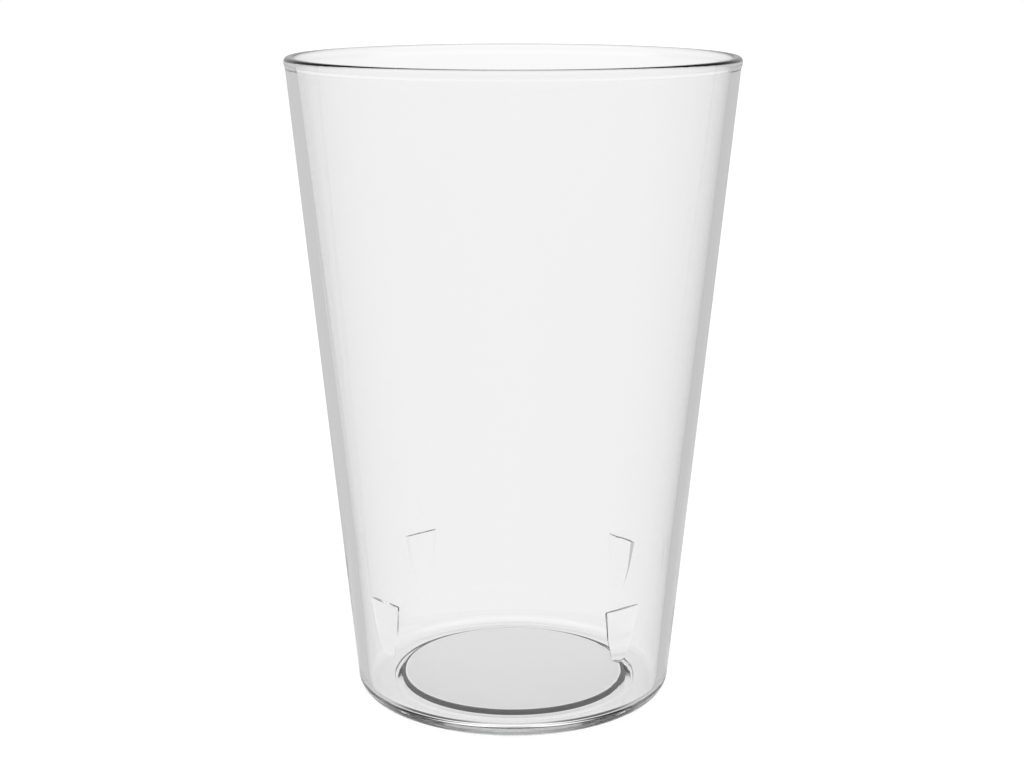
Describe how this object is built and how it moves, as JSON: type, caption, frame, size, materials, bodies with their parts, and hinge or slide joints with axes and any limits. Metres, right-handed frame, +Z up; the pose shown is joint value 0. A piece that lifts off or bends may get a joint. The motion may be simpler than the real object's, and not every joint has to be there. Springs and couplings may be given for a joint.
{
  "type": "pint glass",
  "caption": "Clear tapered pint cup with a beaded rim, stacking lugs inside and a fill port in its base, closed by a loose magnetic disc.",
  "frame": {"origin": "centre of the standing face, on the cup's axis", "axes": "+Z up along the cup's axis towards the rim; the stacking lugs lie on the diagonals between X and Y"},
  "size_m": [0.0921, 0.0922, 0.134],
  "materials": {
    "clear_plastic": "clear, polished",
    "seat_steel": "satin",
    "magnet_rubber": "smooth, slightly glossy edge",
    "face_film": "plain light grey, semi-gloss"
  },
  "bodies": {
    "cup": {"cup_body": "clear_plastic", "seat_ring": "seat_steel"},
    "sealing_disc": {"magnet_disc": "magnet_rubber", "face_film": "face_film"}
  },
  "joints": [
    {"name": "disc_lift", "type": "slide", "parent": "cup", "child": "sealing_disc", "axis": [0, 0, 1], "range_m": [0, 0.14]}
  ]
}
